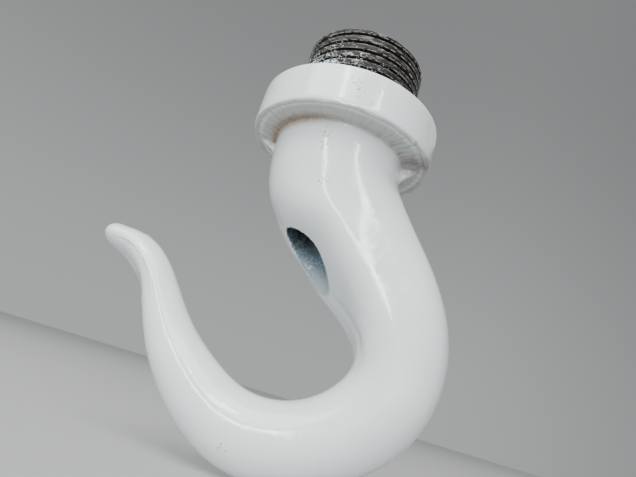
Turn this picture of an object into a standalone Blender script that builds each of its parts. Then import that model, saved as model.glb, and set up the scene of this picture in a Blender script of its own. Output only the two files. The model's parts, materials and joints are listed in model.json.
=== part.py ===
"""Swivel load hook: a forged hook whose collar turns on a threaded suspension stud.

Metres, +Z up. The origin is on the swivel axis, level with the collar's top face.
The threaded stud stands above the origin. The hook hangs below it, in the XZ plane,
with its bill towards -X. Inside the neck the stud's stem runs through a bronze bush
and carries a ball thrust bearing on a slotted nut, which the bore leaves in reach.
"""
import math

import bmesh
import bpy
import numpy as np
from mathutils import Vector

MM = 0.001
GAP = 0.3 * MM  # clearance between faces that touch on the real object

# Collar and neck of the forging
COLLAR_RADIUS = 38.3 * MM
COLLAR_HEIGHT = 17.0 * MM
COLLAR_EDGE = 1.3 * MM
NECK_RADIUS = 27.4 * MM
NECK_FILLET = 3.4 * MM
FILLET_SINK = 0.5 * MM
FLASH_REACH = 33.2 * MM
FLASH_THICKNESS = 1.8 * MM
FRONT_FLASH_DROP = 7.3 * MM
BACK_FLASH_DROP = 9.4 * MM

# Holes down the swivel axis
RECESS_RADIUS = 29.0 * MM
RECESS_DEPTH = 4.0 * MM
BUSH_BORE_RADIUS = 9.3 * MM
SHOULDER_DEPTH = 22.0 * MM
BEARING_BORE_RADIUS = 11.6 * MM
BORE_END = 100.0 * MM

# Centre line of the hook in millimetres: x, z, half thickness away from the throat and
# towards it, half depth towards -Y and +Y, squareness of the throat side's far corner
# (2 is an ellipse), and how far the throat side turns towards -Y in degrees
CENTRE_LINE = (
    (0.0, -10.0, 27.4, 27.4, 27.4, 27.4, 2.0, 0.0),
    (0.4, -25.0, 27.2, 27.2, 27.2, 27.2, 2.0, 0.0),
    (4.3, -37.3, 26.3, 26.0, 26.3, 26.3, 2.8, 6.0),
    (12.4, -48.4, 24.4, 19.4, 24.4, 25.4, 7.0, 15.0),
    (21.9, -58.4, 22.1, 18.0, 22.1, 23.6, 8.0, 18.0),
    (31.3, -68.6, 20.1, 17.3, 20.2, 20.7, 7.5, 16.0),
    (38.8, -79.5, 18.7, 16.8, 19.0, 19.0, 6.0, 12.0),
    (43.2, -91.5, 17.5, 16.3, 17.8, 17.8, 4.0, 8.0),
    (43.0, -104.0, 16.4, 15.9, 16.6, 16.6, 2.4, 4.0),
    (35.6, -117.6, 15.5, 15.5, 15.6, 15.6, 2.0, 0.0),
    (21.5, -128.3, 14.7, 14.7, 14.8, 14.8, 2.0, 0.0),
    (3.5, -133.1, 14.1, 14.1, 14.2, 14.2, 2.0, 0.0),
    (-14.0, -130.1, 13.0, 13.0, 13.2, 13.2, 2.0, 0.0),
    (-29.5, -120.4, 11.5, 11.5, 11.8, 11.8, 2.0, 0.0),
    (-41.8, -108.4, 9.5, 9.5, 10.2, 10.2, 2.0, 0.0),
    (-51.2, -95.2, 7.6, 7.6, 9.0, 9.0, 2.0, 0.0),
    (-59.0, -85.0, 6.7, 6.7, 8.6, 8.6, 2.0, 0.0),
    (-68.4, -78.3, 6.3, 6.3, 8.9, 8.9, 2.0, 0.0),
    (-78.0, -75.5, 4.9, 4.9, 8.6, 8.6, 2.0, 0.0),
)
NEAR_CORNER = 0.3
CENTRE_LINE_STEPS = 54
SECTION_SIDES = 32
TIP_LENGTH = 6.4 * MM
TIP_STEPS = 4

# Suspension stud, M52 x 4
THREAD_RADIUS = 26.0 * MM
THREAD_ROOT_RADIUS = 24.1 * MM
THREAD_PITCH = 4.0 * MM
THREAD_LENGTH = 31.0 * MM
THREAD_CREST_SHARE = 0.50
THREAD_FLANK_SHARE = 0.17
THREAD_SEGMENTS = 40
SPIGOT_RADIUS = 23.5 * MM
STEM_RADIUS = 6.0 * MM
STEM_END = 46.5 * MM
STEM_CHAMFER = 0.8 * MM

# Pieces in the collar's recess
WEAR_WASHER_THICKNESS = 1.6 * MM
WEAR_WASHER_RADIUS = 23.2 * MM
SEAL_INNER_RADIUS = 23.8 * MM
SEAL_TOP_DROP = 0.4 * MM

# Thrust bearing and what holds it, from the neck's shoulder down
RACE_THICKNESS = 2.9 * MM
UPPER_RACE_RADIUS = 11.3 * MM
LOWER_RACE_RADIUS = 11.0 * MM
BALL_RADIUS = 1.75 * MM
BALL_CIRCLE_RADIUS = 8.95 * MM
BALL_COUNT = 10
CAGE_INNER_RADIUS = 6.5 * MM
CAGE_OUTER_RADIUS = 11.2 * MM
CAGE_THICKNESS = 1.6 * MM
CAGE_POCKET_RADIUS = 2.05 * MM
NUT_WASHER_THICKNESS = 1.8 * MM
NUT_WASHER_RADIUS = 10.8 * MM
NUT_HEIGHT = 10.0 * MM
NUT_ACROSS_FLATS = 18.0 * MM
NUT_SLOT_WIDTH = 3.6 * MM
NUT_SLOT_DEPTH = 4.2 * MM
PIN_RADIUS = 1.3 * MM
PIN_HOLE_RADIUS = 1.65 * MM
PIN_LEG_DROP = 4.4 * MM

# Heights that follow from the sizes above
WEAR_WASHER_BOTTOM = -RECESS_DEPTH + GAP
WEAR_WASHER_TOP = WEAR_WASHER_BOTTOM + WEAR_WASHER_THICKNESS
SPIGOT_BOTTOM = WEAR_WASHER_TOP + GAP
UPPER_RACE_TOP = -SHOULDER_DEPTH - GAP
UPPER_RACE_BOTTOM = UPPER_RACE_TOP - RACE_THICKNESS
BALL_HEIGHT = UPPER_RACE_BOTTOM - GAP - BALL_RADIUS
LOWER_RACE_TOP = BALL_HEIGHT - BALL_RADIUS - GAP
LOWER_RACE_BOTTOM = LOWER_RACE_TOP - RACE_THICKNESS
NUT_WASHER_TOP = LOWER_RACE_BOTTOM - GAP
NUT_WASHER_BOTTOM = NUT_WASHER_TOP - NUT_WASHER_THICKNESS
NUT_TOP = NUT_WASHER_BOTTOM - GAP
NUT_BOTTOM = NUT_TOP - NUT_HEIGHT
PIN_HEIGHT = NUT_BOTTOM + 0.5 * NUT_SLOT_DEPTH


def clear_scene():
    for item in list(bpy.data.objects):
        bpy.data.objects.remove(item, do_unlink=True)


def material(name, colour, roughness, metallic):
    """A Principled material in one colour."""
    made = bpy.data.materials.new(name)
    made.use_nodes = True
    shader = made.node_tree.nodes["Principled BSDF"]
    shader.inputs["Base Color"].default_value = (*colour, 1.0)
    shader.inputs["Roughness"].default_value = roughness
    shader.inputs["Metallic"].default_value = metallic
    return made


def add_object(name, shape, finish=None, smooth_angle=35.0):
    """Turn a bmesh into an object, round faces shaded smooth."""
    mesh = bpy.data.meshes.new(name)
    bmesh.ops.recalc_face_normals(shape, faces=shape.faces)
    shape.to_mesh(mesh)
    shape.free()
    mesh.shade_smooth()
    mesh.set_sharp_from_angle(angle=math.radians(smooth_angle))
    made = bpy.data.objects.new(name, mesh)
    bpy.context.scene.collection.objects.link(made)
    if finish is not None:
        mesh.materials.append(finish)
    return made


def ring_of_points(shape, radius, height, sides):
    points = []
    for side in range(sides):
        angle = 2.0 * math.pi * side / sides
        points.append(shape.verts.new((radius * math.cos(angle), radius * math.sin(angle), height)))
    return points


def join_rings(shape, first, second):
    sides = len(first)
    for side in range(sides):
        after = (side + 1) % sides
        shape.faces.new((first[side], first[after], second[after], second[side]))


def turned_ring(profile, sides):
    """Spin a closed outline of (radius, height) corners about Z."""
    shape = bmesh.new()
    rings = [ring_of_points(shape, radius, height, sides) for radius, height in profile]
    for place, ring in enumerate(rings):
        join_rings(shape, ring, rings[(place + 1) % len(rings)])
    return shape


def turned_solid(profile, sides):
    """Spin an open outline about Z and close its two ends with flat faces."""
    shape = bmesh.new()
    rings = [ring_of_points(shape, radius, height, sides) for radius, height in profile]
    for first, second in zip(rings, rings[1:]):
        join_rings(shape, first, second)
    shape.faces.new(rings[0])
    shape.faces.new(rings[-1])
    return shape


def washer(inner, outer, bottom, top, edge=0.2 * MM, sides=32):
    """A flat ring whose outer and inner corners are broken by a small chamfer."""
    return turned_ring((
        (inner + edge, bottom),
        (outer - edge, bottom),
        (outer, bottom + edge),
        (outer, top - edge),
        (outer - edge, top),
        (inner + edge, top),
        (inner, top - edge),
        (inner, bottom + edge),
    ), sides)


def natural_spline(knots, steps):
    """Sample the natural cubic spline through rows of knots, evenly along its length."""
    knots = np.array(knots, dtype=float)
    spans = np.linalg.norm(np.diff(knots[:, :2], axis=0), axis=1)
    along = np.concatenate(([0.0], np.cumsum(spans)))
    count = len(knots)
    system = np.eye(count)
    rates = np.zeros_like(knots)
    for row in range(1, count - 1):
        before = spans[row - 1]
        after = spans[row]
        system[row, row - 1:row + 2] = (before, 2.0 * (before + after), after)
        rates[row] = 6.0 * ((knots[row + 1] - knots[row]) / after - (knots[row] - knots[row - 1]) / before)
    bend = np.linalg.solve(system, rates)
    samples = []
    for place in np.linspace(0.0, along[-1], steps + 1):
        row = min(int(np.searchsorted(along, place, side="right")) - 1, count - 2)
        span = spans[row]
        late = (place - along[row]) / span
        early = 1.0 - late
        value = early * knots[row] + late * knots[row + 1]
        value = value + ((early ** 3 - early) * bend[row] + (late ** 3 - late) * bend[row + 1]) * span ** 2 / 6.0
        samples.append(value)
    return np.array(samples)


def hook_section(shape, centre, tangent, size, squareness, turn):
    """One closed loop of the hook, square to the centre line, with a flatter throat side."""
    across = np.array((-tangent[1], tangent[0]))
    outer, throat, near, far = size
    points = []
    for side in range(SECTION_SIDES):
        angle = 2.0 * math.pi * side / SECTION_SIDES
        cosine = math.cos(angle)
        sine = math.sin(angle)
        stretch = 1.0
        thickness = outer
        if cosine < 0.0:
            power = squareness if sine > 0.0 else 2.0 + NEAR_CORNER * (squareness - 2.0)
            stretch = (abs(cosine) ** power + abs(sine) ** power) ** (-1.0 / power)
            thickness = throat
        out = thickness * cosine * stretch
        aside = (far if sine > 0.0 else near) * sine * stretch
        place = centre + across * (out * math.cos(turn) - aside * math.sin(turn))
        width = out * math.sin(turn) + aside * math.cos(turn)
        points.append(shape.verts.new((place[0], width, place[1])))
    return points


def hook_blank():
    """The swept neck, bowl and bill, closed at the top and rounded at the tip."""
    line = natural_spline(CENTRE_LINE, CENTRE_LINE_STEPS)
    line[:, :6] *= MM
    line[:, 7] = np.radians(line[:, 7])
    tangents = np.gradient(line[:, :2], axis=0)
    tangents /= np.linalg.norm(tangents, axis=1)[:, None]
    shape = bmesh.new()
    loops = []
    for row, tangent in zip(line, tangents):
        loops.append(hook_section(shape, row[:2], tangent, row[2:6], row[6], row[7]))
    tip = line[-1]
    forward = tangents[-1]
    for step in range(1, TIP_STEPS):
        turn = 0.5 * math.pi * step / TIP_STEPS
        centre = tip[:2] + forward * TIP_LENGTH * math.sin(turn)
        loops.append(hook_section(shape, centre, forward, tip[2:6] * math.cos(turn), 2.0, 0.0))
    for first, second in zip(loops, loops[1:]):
        join_rings(shape, first, second)
    shape.faces.new(loops[0])
    nose = tip[:2] + forward * TIP_LENGTH
    point = shape.verts.new((nose[0], 0.0, nose[1]))
    for side in range(SECTION_SIDES):
        shape.faces.new((loops[-1][side], loops[-1][(side + 1) % SECTION_SIDES], point))
    return shape


def collar_blank():
    """The collar disc with rounded edges and the fillet under it that meets the neck."""
    profile = [(SEAL_INNER_RADIUS, 0.0)]
    for step in range(4):
        turn = 0.5 * math.pi * step / 3
        reach = COLLAR_RADIUS - COLLAR_EDGE * (1.0 - math.sin(turn))
        profile.append((reach, -COLLAR_EDGE * (1.0 - math.cos(turn))))
    for step in range(4):
        turn = 0.5 * math.pi * step / 3
        reach = COLLAR_RADIUS - COLLAR_EDGE * (1.0 - math.cos(turn))
        profile.append((reach, -COLLAR_HEIGHT + COLLAR_EDGE * (1.0 - math.sin(turn))))
    for step in range(5):
        turn = 0.5 * math.pi * step / 4
        reach = NECK_RADIUS - FILLET_SINK + NECK_FILLET * (1.0 - math.sin(turn))
        profile.append((reach, -COLLAR_HEIGHT - NECK_FILLET * (1.0 - math.cos(turn))))
    profile.append((SEAL_INNER_RADIUS, -COLLAR_HEIGHT - NECK_FILLET))
    return turned_solid(profile, sides=64)


def flash_web(side, drop):
    """The thin web of forging flash between the neck and the collar, at -X or +X."""
    root = NECK_RADIUS - 2.1 * MM
    outline = (
        (root, -COLLAR_HEIGHT + 1.1 * MM),
        (FLASH_REACH, -COLLAR_HEIGHT + 1.1 * MM),
        (FLASH_REACH, -COLLAR_HEIGHT - 0.6 * MM),
        (NECK_RADIUS + 2.3 * MM, -COLLAR_HEIGHT - 0.45 * drop),
        (root, -COLLAR_HEIGHT - drop),
    )
    shape = bmesh.new()
    sheets = []
    for edge in (-0.55, 0.45):
        sheets.append([shape.verts.new((side * x, edge * FLASH_THICKNESS, z)) for x, z in outline])
    join_rings(shape, sheets[0], sheets[1])
    shape.faces.new(sheets[0])
    shape.faces.new(sheets[1])
    return shape


def axial_cutter():
    """Recess, bush bore and bearing bore in one turned cutter down the swivel axis."""
    return turned_solid((
        (RECESS_RADIUS, 2.0 * MM),
        (RECESS_RADIUS, -RECESS_DEPTH),
        (BUSH_BORE_RADIUS, -RECESS_DEPTH),
        (BUSH_BORE_RADIUS, -SHOULDER_DEPTH),
        (BEARING_BORE_RADIUS, -SHOULDER_DEPTH),
        (BEARING_BORE_RADIUS, -BORE_END),
    ), sides=48)


def boolean(target, other, operation):
    """Join or cut target with other, which is kept out of the model as a guide."""
    change = target.modifiers.new(other.name, "BOOLEAN")
    change.operation = operation
    change.solver = "EXACT"
    change.object = other
    other.hide_render = True
    other.display_type = "WIRE"


def make_hook():
    paint = material("white_enamel", (0.80, 0.82, 0.83), 0.22, 0.0)
    hook = add_object("hook", hook_blank(), paint)
    boolean(hook, add_object("collar_guide", collar_blank()), "UNION")
    boolean(hook, add_object("front_flash_guide", flash_web(-1.0, FRONT_FLASH_DROP)), "UNION")
    boolean(hook, add_object("back_flash_guide", flash_web(1.0, BACK_FLASH_DROP)), "UNION")
    boolean(hook, add_object("bore_cutter", axial_cutter()), "DIFFERENCE")
    return hook


def thread_radius(height):
    """Radius of the thread at a height above the start of a turn."""
    phase = (height / THREAD_PITCH) % 1.0
    crest_end = THREAD_CREST_SHARE
    root_start = crest_end + THREAD_FLANK_SHARE
    root_end = 1.0 - THREAD_FLANK_SHARE
    share = np.interp(phase, (0.0, crest_end, root_start, root_end, 1.0), (1.0, 1.0, 0.0, 0.0, 1.0))
    return THREAD_ROOT_RADIUS + share * (THREAD_RADIUS - THREAD_ROOT_RADIUS)


def end_limit(height):
    """The chamfer at each end of the thread, as the largest radius at a height."""
    edge = min(height, THREAD_LENGTH - height)
    return SPIGOT_RADIUS - 0.6 * MM + 1.1 * max(edge, 0.0)


def stud_blank():
    """The stud, with rows of points that climb along the thread."""
    shape = bmesh.new()
    rows = []
    for radius, height in (
        (STEM_RADIUS - STEM_CHAMFER, -STEM_END),
        (STEM_RADIUS, -STEM_END + STEM_CHAMFER),
        (STEM_RADIUS, SPIGOT_BOTTOM),
        (SPIGOT_RADIUS - 0.6 * MM, SPIGOT_BOTTOM),
    ):
        rows.append(ring_of_points(shape, radius, height, THREAD_SEGMENTS))
    phases = (0.0, THREAD_CREST_SHARE, THREAD_CREST_SHARE + THREAD_FLANK_SHARE, 1.0 - THREAD_FLANK_SHARE)
    turns = int(math.ceil(THREAD_LENGTH / THREAD_PITCH))
    steps = [(turn + phase) * THREAD_PITCH for turn in range(-1, turns + 1) for phase in phases]
    helix = []
    for step in steps:
        points = []
        for side in range(THREAD_SEGMENTS):
            turn = side / THREAD_SEGMENTS
            height = min(max(step + turn * THREAD_PITCH, 0.0), THREAD_LENGTH)
            radius = min(thread_radius(step), end_limit(height))
            angle = 2.0 * math.pi * turn
            points.append(shape.verts.new((radius * math.cos(angle), radius * math.sin(angle), height)))
        helix.append(points)
    per_turn = len(phases)
    for low, high in zip(range(len(steps) - 1), range(1, len(steps))):
        for side in range(THREAD_SEGMENTS - 1):
            shape.faces.new((helix[low][side], helix[low][side + 1], helix[high][side + 1], helix[high][side]))
        if high + per_turn < len(steps):
            last = THREAD_SEGMENTS - 1
            lead = helix[low + per_turn][0]
            above = helix[high + per_turn][0]
            shape.faces.new((helix[low][last], lead, above, helix[high][last]))
    bmesh.ops.remove_doubles(shape, verts=shape.verts, dist=1e-6)
    join_rings(shape, rows[0], rows[1])
    join_rings(shape, rows[1], rows[2])
    join_rings(shape, rows[2], rows[3])
    shape.faces.new(rows[0])
    return shape, rows[3]


def close_thread_ends(shape, lower_ring):
    """Sew the thread to the spigot below it and cap it at the top."""
    bmesh.ops.dissolve_degenerate(shape, edges=shape.edges, dist=1e-6)
    top = [vert for vert in shape.verts if abs(vert.co.z - THREAD_LENGTH) < 1e-7]
    foot = [vert for vert in shape.verts if abs(vert.co.z) < 1e-7]
    for ring in (top, foot):
        ring.sort(key=lambda vert: math.atan2(vert.co.y, vert.co.x) % (2.0 * math.pi))
    join_rings(shape, lower_ring, foot)
    shape.faces.new(top)


def split_pin_hole():
    shape = turned_solid(((PIN_HOLE_RADIUS, -12.0 * MM), (PIN_HOLE_RADIUS, 12.0 * MM)), sides=24)
    bmesh.ops.rotate(shape, verts=shape.verts, matrix=Vector((0, 0, 1)).rotation_difference(
        Vector((1, 0, 0))).to_matrix())
    bmesh.ops.translate(shape, verts=shape.verts, vec=(0.0, 0.0, PIN_HEIGHT))
    return shape


def make_stud():
    steel = material("black_steel", (0.05, 0.05, 0.055), 0.45, 0.9)
    shape, lower_ring = stud_blank()
    close_thread_ends(shape, lower_ring)
    stud = add_object("swivel_stud", shape, steel)
    boolean(stud, add_object("pin_hole_cutter", split_pin_hole()), "DIFFERENCE")
    return stud


def make_recess_pieces():
    bronze = material("bronze", (0.55, 0.36, 0.16), 0.4, 1.0)
    rubber = material("black_rubber", (0.03, 0.03, 0.03), 0.7, 0.0)
    outer = RECESS_RADIUS - GAP
    add_object("wear_washer", washer(STEM_RADIUS + GAP, WEAR_WASHER_RADIUS,
                                     WEAR_WASHER_BOTTOM, WEAR_WASHER_TOP), bronze)
    add_object("dust_seal", washer(SEAL_INNER_RADIUS, outer, WEAR_WASHER_BOTTOM,
                                   -SEAL_TOP_DROP, edge=0.5 * MM), rubber)
    add_object("stem_bush", washer(STEM_RADIUS + GAP, BUSH_BORE_RADIUS - GAP,
                                   -SHOULDER_DEPTH + GAP, -RECESS_DEPTH - GAP, edge=0.5 * MM), bronze.copy())


def race(name, outer, bottom, top, finish):
    return add_object(name, washer(STEM_RADIUS + GAP, outer, bottom, top, edge=0.4 * MM), finish)


def make_balls(finish):
    """Each ball is its own object on the ball circle, all sharing one mesh."""
    shape = bmesh.new()
    bmesh.ops.create_icosphere(shape, subdivisions=2, radius=BALL_RADIUS)
    first = add_object("ball_1", shape, finish, smooth_angle=60.0)
    for ball in range(BALL_COUNT):
        made = first
        if ball > 0:
            made = bpy.data.objects.new("ball_" + str(ball + 1), first.data)
            bpy.context.scene.collection.objects.link(made)
        angle = 2.0 * math.pi * ball / BALL_COUNT
        made.location = (BALL_CIRCLE_RADIUS * math.cos(angle), BALL_CIRCLE_RADIUS * math.sin(angle), BALL_HEIGHT)


def make_cage():
    brass = material("cage_brass", (0.6, 0.45, 0.18), 0.35, 1.0)
    half = 0.5 * CAGE_THICKNESS
    cage = add_object("ball_cage", washer(CAGE_INNER_RADIUS, CAGE_OUTER_RADIUS, BALL_HEIGHT - half,
                                          BALL_HEIGHT + half, edge=0.15 * MM), brass)
    pockets = bmesh.new()
    for ball in range(BALL_COUNT):
        angle = 2.0 * math.pi * ball / BALL_COUNT
        made = bmesh.ops.create_cone(pockets, cap_ends=True, segments=20, radius1=CAGE_POCKET_RADIUS,
                                     radius2=CAGE_POCKET_RADIUS, depth=4.0 * CAGE_THICKNESS)
        centre = (BALL_CIRCLE_RADIUS * math.cos(angle), BALL_CIRCLE_RADIUS * math.sin(angle), BALL_HEIGHT)
        bmesh.ops.translate(pockets, verts=made["verts"], vec=centre)
    boolean(cage, add_object("pocket_cutter", pockets), "DIFFERENCE")


def make_nut():
    """Hexagon nut with six slots in its lower end for the split pin."""
    plated = material("nut_steel", (0.35, 0.35, 0.36), 0.4, 1.0)
    corner = 0.5 * NUT_ACROSS_FLATS / math.cos(math.pi / 6)
    inner = STEM_RADIUS + GAP
    shape = bmesh.new()
    rings = []
    for radius, height in ((inner, NUT_BOTTOM), (corner, NUT_BOTTOM), (corner, NUT_TOP), (inner, NUT_TOP)):
        points = []
        for side in range(36):
            angle = math.radians(side * 10)
            reach = radius
            if radius == corner:
                fold = (angle + math.pi / 6) % (math.pi / 3) - math.pi / 6
                reach = 0.5 * NUT_ACROSS_FLATS / math.cos(fold)
            points.append(shape.verts.new((reach * math.cos(angle), reach * math.sin(angle), height)))
        rings.append(points)
    for place, ring in enumerate(rings):
        join_rings(shape, ring, rings[(place + 1) % 4])
    nut = add_object("castle_nut", shape, plated, smooth_angle=20.0)
    for slot in range(3):
        cutter = bmesh.new()
        bmesh.ops.create_cube(cutter, size=1.0)
        bmesh.ops.scale(cutter, verts=cutter.verts, vec=(30.0 * MM, NUT_SLOT_WIDTH, 2.0 * NUT_SLOT_DEPTH))
        turn = Vector((1, 0, 0)).rotation_difference(
            Vector((math.cos(slot * math.pi / 3), math.sin(slot * math.pi / 3), 0))).to_matrix()
        bmesh.ops.rotate(cutter, verts=cutter.verts, matrix=turn)
        bmesh.ops.translate(cutter, verts=cutter.verts, vec=(0.0, 0.0, NUT_BOTTOM))
        boolean(nut, add_object("slot_cutter_" + str(slot + 1), cutter), "DIFFERENCE")


def pin_tube(name, path, finish=None):
    """A round bar that follows a path of corners."""
    curve = bpy.data.curves.new(name, "CURVE")
    curve.dimensions = "3D"
    curve.bevel_depth = PIN_RADIUS
    curve.bevel_resolution = 3
    curve.use_fill_caps = True
    spline = curve.splines.new("POLY")
    spline.points.add(len(path) - 1)
    for point, place in zip(spline.points, path):
        point.co = (*place, 1.0)
    if finish is not None:
        curve.materials.append(finish)
    made = bpy.data.objects.new(name, curve)
    bpy.context.scene.collection.objects.link(made)
    return made


def make_split_pin():
    """Through the stem and two nut slots, one end bent down past the stem's end."""
    zinc = material("split_pin_zinc", (0.6, 0.6, 0.6), 0.35, 1.0)
    reach = 0.5 * NUT_ACROSS_FLATS - 0.3 * MM
    bend = 1.4 * MM
    path = [(-reach - 0.6 * MM, 0.0, PIN_HEIGHT), (reach - bend, 0.0, PIN_HEIGHT)]
    for step in range(1, 5):
        turn = 0.5 * math.pi * step / 4
        path.append((reach - bend + bend * math.sin(turn), 0.0, PIN_HEIGHT - bend * (1.0 - math.cos(turn))))
    path.append((reach, 0.0, PIN_HEIGHT - PIN_LEG_DROP))
    pin_tube("split_pin", path, zinc)


def main():
    clear_scene()
    make_hook()
    make_stud()
    make_recess_pieces()
    bearing_steel = material("bearing_steel", (0.62, 0.62, 0.64), 0.2, 1.0)
    race("upper_race", UPPER_RACE_RADIUS, UPPER_RACE_BOTTOM, UPPER_RACE_TOP, bearing_steel)
    make_balls(bearing_steel.copy())
    make_cage()
    race("lower_race", LOWER_RACE_RADIUS, LOWER_RACE_BOTTOM, LOWER_RACE_TOP, bearing_steel.copy())
    nut_washer_steel = material("washer_steel", (0.45, 0.45, 0.46), 0.35, 1.0)
    add_object("nut_washer", washer(STEM_RADIUS + GAP, NUT_WASHER_RADIUS, NUT_WASHER_BOTTOM,
                                    NUT_WASHER_TOP), nut_washer_steel)
    make_nut()
    make_split_pin()


main()
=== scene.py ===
"""Looks of the swivel load hook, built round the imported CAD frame.

The painted forging and the threaded stud are fine meshes that stand for their CAD nodes.
The pieces inside the neck get finer meshes of their own. Metres, +Z up.
"""
import json
import math

import bmesh
import bpy
import numpy as np
from mathutils import Matrix, Vector, kdtree, noise

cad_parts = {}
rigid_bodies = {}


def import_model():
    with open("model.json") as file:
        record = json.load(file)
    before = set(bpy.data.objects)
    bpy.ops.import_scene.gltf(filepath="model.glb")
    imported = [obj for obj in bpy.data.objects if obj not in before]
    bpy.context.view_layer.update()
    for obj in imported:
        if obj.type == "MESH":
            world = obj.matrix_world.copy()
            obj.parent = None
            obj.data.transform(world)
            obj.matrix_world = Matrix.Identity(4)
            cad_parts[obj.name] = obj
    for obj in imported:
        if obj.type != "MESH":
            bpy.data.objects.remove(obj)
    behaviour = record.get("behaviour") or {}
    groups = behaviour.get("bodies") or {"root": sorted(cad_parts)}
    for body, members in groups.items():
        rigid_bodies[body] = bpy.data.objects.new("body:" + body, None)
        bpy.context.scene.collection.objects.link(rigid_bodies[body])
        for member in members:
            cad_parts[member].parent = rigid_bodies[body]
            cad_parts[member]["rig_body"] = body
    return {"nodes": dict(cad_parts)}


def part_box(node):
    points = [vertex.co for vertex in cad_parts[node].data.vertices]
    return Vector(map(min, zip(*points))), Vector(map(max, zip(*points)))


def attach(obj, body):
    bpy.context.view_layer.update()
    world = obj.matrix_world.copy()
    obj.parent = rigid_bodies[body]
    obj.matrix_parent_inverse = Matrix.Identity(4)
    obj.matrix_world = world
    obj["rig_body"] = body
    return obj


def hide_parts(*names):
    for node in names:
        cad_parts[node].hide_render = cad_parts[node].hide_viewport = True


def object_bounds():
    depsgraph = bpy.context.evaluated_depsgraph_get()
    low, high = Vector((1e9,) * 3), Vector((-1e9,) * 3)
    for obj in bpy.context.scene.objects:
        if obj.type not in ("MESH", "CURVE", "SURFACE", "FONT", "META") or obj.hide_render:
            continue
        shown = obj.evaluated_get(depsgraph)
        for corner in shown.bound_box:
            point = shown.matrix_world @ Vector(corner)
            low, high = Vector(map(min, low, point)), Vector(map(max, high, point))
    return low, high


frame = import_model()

MM = 0.001
CAD_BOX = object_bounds()
COLLAR_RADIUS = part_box("hook")[1].y
STUD_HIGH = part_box("swivel_stud")[1]
THREAD_RADIUS = STUD_HIGH.y
THREAD_LENGTH = STUD_HIGH.z

# Collar and neck
COLLAR_HEIGHT = 17.0 * MM
COLLAR_EDGE = 1.1 * MM
NECK_RADIUS = 27.4 * MM
NECK_FILLET = 2.6 * MM
FILLET_SINK = 0.6 * MM
RECESS_RADIUS = 29.0 * MM
RECESS_DEPTH = 4.0 * MM
BUSH_BORE_RADIUS = 9.3 * MM
SHOULDER_DEPTH = 22.0 * MM
BORE_RADIUS = 11.6 * MM
BORE_END = 100.0 * MM

# Centre line of the hook in millimetres: x, z, half thickness away from the throat and
# towards it, half depth towards -Y and +Y, squareness of the throat side's far corner
# (2 is an ellipse), and how far the throat side turns towards -Y in degrees
CENTRE_LINE = (
    (0.0, -10.0, 27.4, 27.4, 27.4, 27.4, 2.0, 0.0),
    (0.4, -25.0, 27.2, 27.2, 27.2, 27.2, 2.0, 0.0),
    (4.3, -37.3, 26.3, 26.0, 26.3, 26.3, 2.8, 6.0),
    (12.4, -48.4, 24.4, 19.4, 24.4, 25.4, 7.0, 15.0),
    (21.9, -58.4, 22.1, 18.0, 22.1, 23.6, 8.0, 18.0),
    (31.3, -68.6, 20.1, 17.3, 20.2, 20.7, 7.5, 16.0),
    (38.8, -79.5, 18.7, 16.8, 19.0, 19.0, 6.0, 12.0),
    (43.2, -91.5, 17.5, 16.3, 17.8, 17.8, 4.0, 8.0),
    (43.0, -104.0, 16.4, 15.9, 16.6, 16.6, 2.4, 4.0),
    (35.6, -117.6, 15.5, 15.5, 15.6, 15.6, 2.0, 0.0),
    (21.5, -128.3, 14.7, 14.7, 14.8, 14.8, 2.0, 0.0),
    (3.5, -133.1, 14.1, 14.1, 14.2, 14.2, 2.0, 0.0),
    (-14.0, -130.1, 13.0, 13.0, 13.2, 13.2, 2.0, 0.0),
    (-29.5, -120.4, 11.5, 11.5, 11.8, 11.8, 2.0, 0.0),
    (-41.8, -108.4, 9.5, 9.5, 10.2, 10.2, 2.0, 0.0),
    (-51.2, -95.2, 7.6, 7.6, 9.0, 9.0, 2.0, 0.0),
    (-59.0, -85.0, 6.7, 6.7, 8.6, 8.6, 2.0, 0.0),
    (-68.4, -78.3, 6.3, 6.3, 8.9, 8.9, 2.0, 0.0),
    (-78.0, -75.5, 4.9, 4.9, 8.6, 8.6, 2.0, 0.0),
)
NEAR_CORNER = 0.3
BOWL_CENTRE = (2.0 * MM, -96.0 * MM)
# The flat on the outer side of the bill: where it starts, is full, is full still and ends
BILL_FACET = (-47.0 * MM, -59.0 * MM, -65.5 * MM, -79.0 * MM)
BILL_LOWEST = -110.0 * MM
BILL_SQUARENESS = 3.6
BILL_LEAN = 0.44
CENTRE_LINE_STEPS = 200
SECTION_SIDES = 112
TIP_LENGTH = 6.4 * MM
TIP_STEPS = 9
HOOK_VOXEL = 0.54 * MM
# Webs of forging flash: name, side, reach, drop, thickness and offset towards +Y
FLASH_WEBS = (
    ("front_flash", -1.0, 35.0 * MM, 8.6 * MM, 1.5 * MM, -2.2 * MM),
    ("back_flash", 1.0, 34.2 * MM, 10.4 * MM, 2.4 * MM, -1.6 * MM),
)
RIM_WIDTH = 3.0 * MM
# The paint's waviness: wavelength and height
PAINT_WAVES = ((17.0 * MM, 0.09 * MM), (5.5 * MM, 0.018 * MM))


def new_object(name, data):
    made = bpy.data.objects.new(name, data)
    bpy.context.scene.collection.objects.link(made)
    return made


def shade_with_edges(mesh, degrees):
    mesh.shade_smooth()
    mesh.set_sharp_from_angle(angle=math.radians(degrees))


def add_object(name, shape, smooth_angle=None):
    mesh = bpy.data.meshes.new(name)
    bmesh.ops.recalc_face_normals(shape, faces=shape.faces)
    shape.to_mesh(mesh)
    shape.free()
    if smooth_angle is None:
        mesh.shade_smooth()
    else:
        shade_with_edges(mesh, smooth_angle)
    return new_object(name, mesh)


def ring_of_points(shape, radius, height, sides):
    points = []
    for side in range(sides):
        angle = 2.0 * math.pi * side / sides
        points.append(shape.verts.new((radius * math.cos(angle), radius * math.sin(angle), height)))
    return points


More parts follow.
